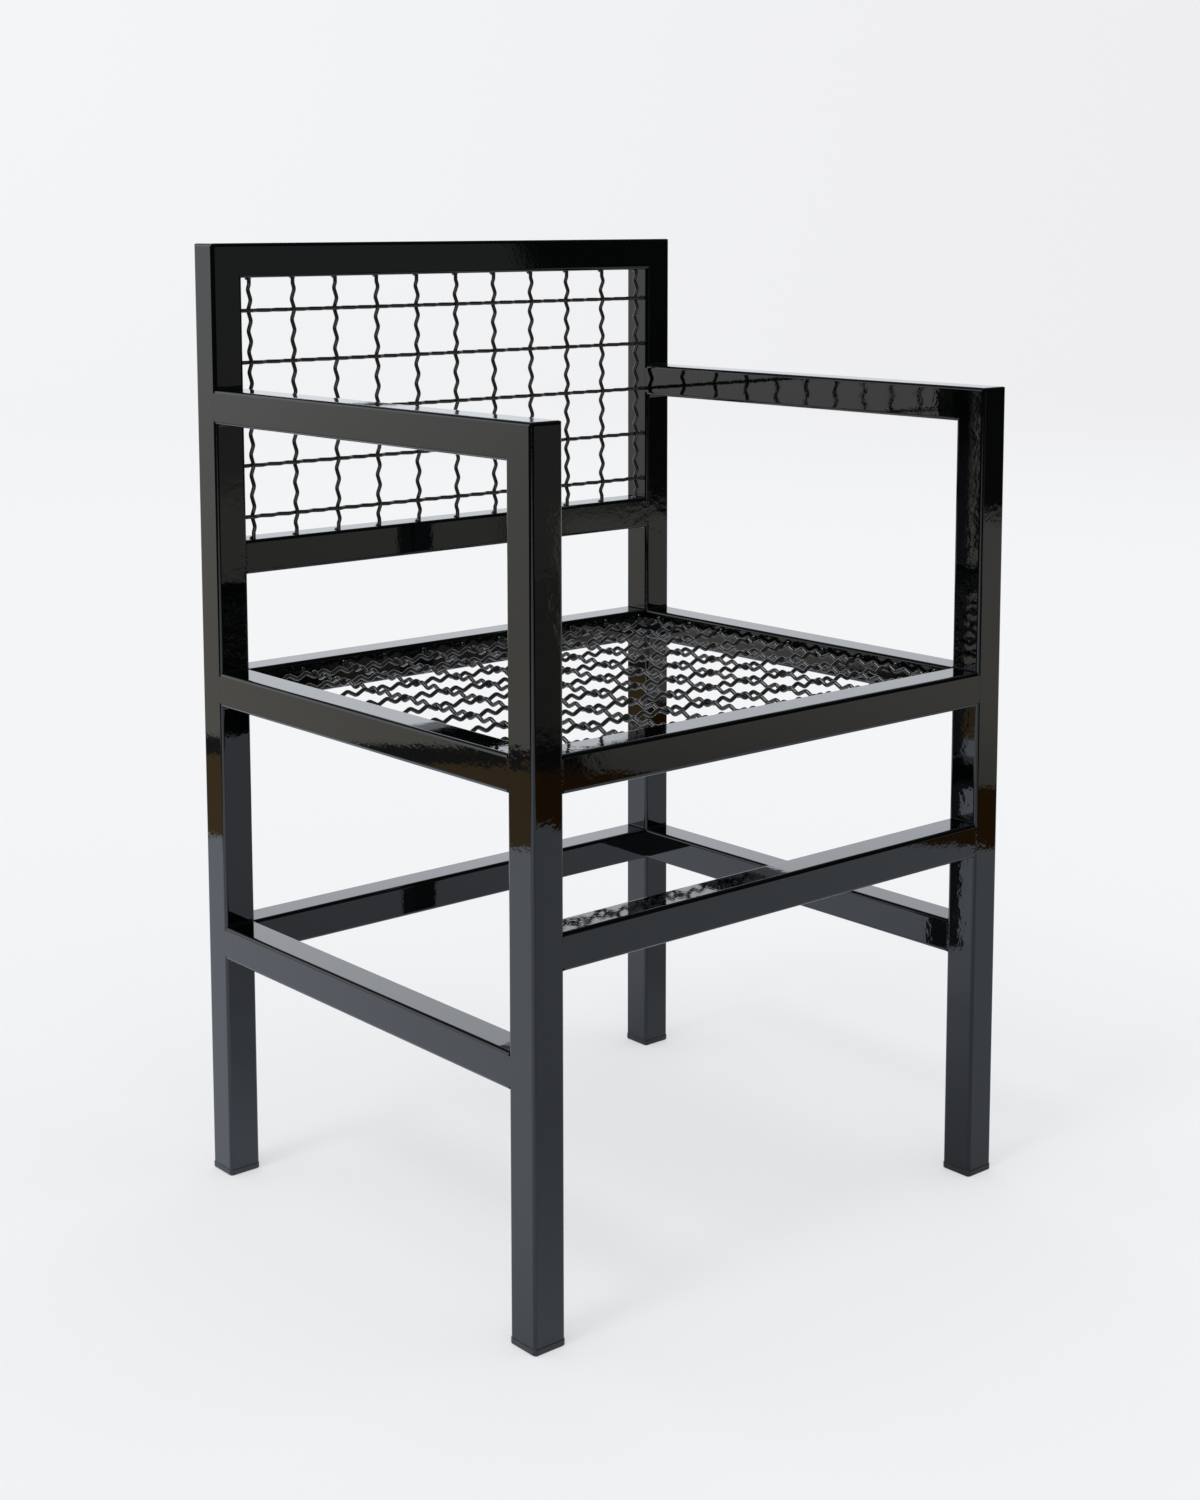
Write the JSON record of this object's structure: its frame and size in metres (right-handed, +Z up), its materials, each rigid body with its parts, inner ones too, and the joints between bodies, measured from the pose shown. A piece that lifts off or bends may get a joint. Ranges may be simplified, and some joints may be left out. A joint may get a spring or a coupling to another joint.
{
  "type": "wire mesh armchair",
  "caption": "Welded square-tube metal armchair with open crimped wire mesh for the seat and the back, low box stretchers and black gloss coating.",
  "frame": {"origin": "on the floor, under the middle of the chair's bounding box", "axes": "+Z up, the sitter faces -Y, +X to the sitter's left"},
  "size_m": [0.531, 0.459, 0.83],
  "materials": {
    "frame_coating": "gloss black coating on square steel tube",
    "wire_coating": "gloss black coating on crimped steel wire",
    "weld_spots": "coated weld metal, slightly uneven",
    "foot_plastic": "moulded black polyethylene, satin"
  },
  "bodies": {
    "root": {"arm_left": "frame_coating", "arm_right": "frame_coating", "back_lower_rail": "frame_coating", "back_top_rail": "frame_coating", "back_wire_cross_01": "wire_coating", "back_wire_cross_02": "wire_coating", "back_wire_cross_03": "wire_coating", "back_wire_cross_04": "wire_coating", "back_wire_cross_05": "wire_coating", "back_wire_upright_01": "wire_coating", "back_wire_upright_02": "wire_coating", "back_wire_upright_03": "wire_coating", "back_wire_upright_04": "wire_coating", "back_wire_upright_05": "wire_coating", "back_wire_upright_06": "wire_coating", "back_wire_upright_07": "wire_coating", "back_wire_upright_08": "wire_coating", "back_wire_upright_09": "wire_coating", "back_wire_upright_10": "wire_coating", "back_wire_upright_11": "wire_coating", "foot_cap_front_left": "foot_plastic", "foot_cap_front_right": "foot_plastic", "foot_cap_rear_left": "foot_plastic", "foot_cap_rear_right": "foot_plastic", "front_leg_left": "frame_coating", "front_leg_right": "frame_coating", "rear_post_left": "frame_coating", "rear_post_right": "frame_coating", "seat_rail_front": "frame_coating", "seat_rail_left": "frame_coating", "seat_rail_rear": "frame_coating", "seat_rail_right": "frame_coating", "seat_wire_cross_01": "wire_coating", "seat_wire_cross_02": "wire_coating", "seat_wire_cross_03": "wire_coating", "seat_wire_cross_04": "wire_coating", "seat_wire_cross_05": "wire_coating", "seat_wire_cross_06": "wire_coating", "seat_wire_cross_07": "wire_coating", "seat_wire_cross_08": "wire_coating", "seat_wire_cross_09": "wire_coating", "seat_wire_long_01": "wire_coating", "seat_wire_long_02": "wire_coating", "seat_wire_long_03": "wire_coating", "seat_wire_long_04": "wire_coating", "seat_wire_long_05": "wire_coating", "seat_wire_long_06": "wire_coating", "seat_wire_long_07": "wire_coating", "seat_wire_long_08": "wire_coating", "seat_wire_long_09": "wire_coating", "seat_wire_long_10": "wire_coating", "seat_wire_long_11": "wire_coating", "stretcher_front": "frame_coating", "stretcher_left": "frame_coating", "stretcher_rear": "frame_coating", "stretcher_right": "frame_coating", "weld_spots_back_mesh": "weld_spots", "weld_spots_seat_mesh": "weld_spots", "welds_arms_and_back": "frame_coating", "welds_seat_and_stretchers": "frame_coating"}
  },
  "joints": []
}
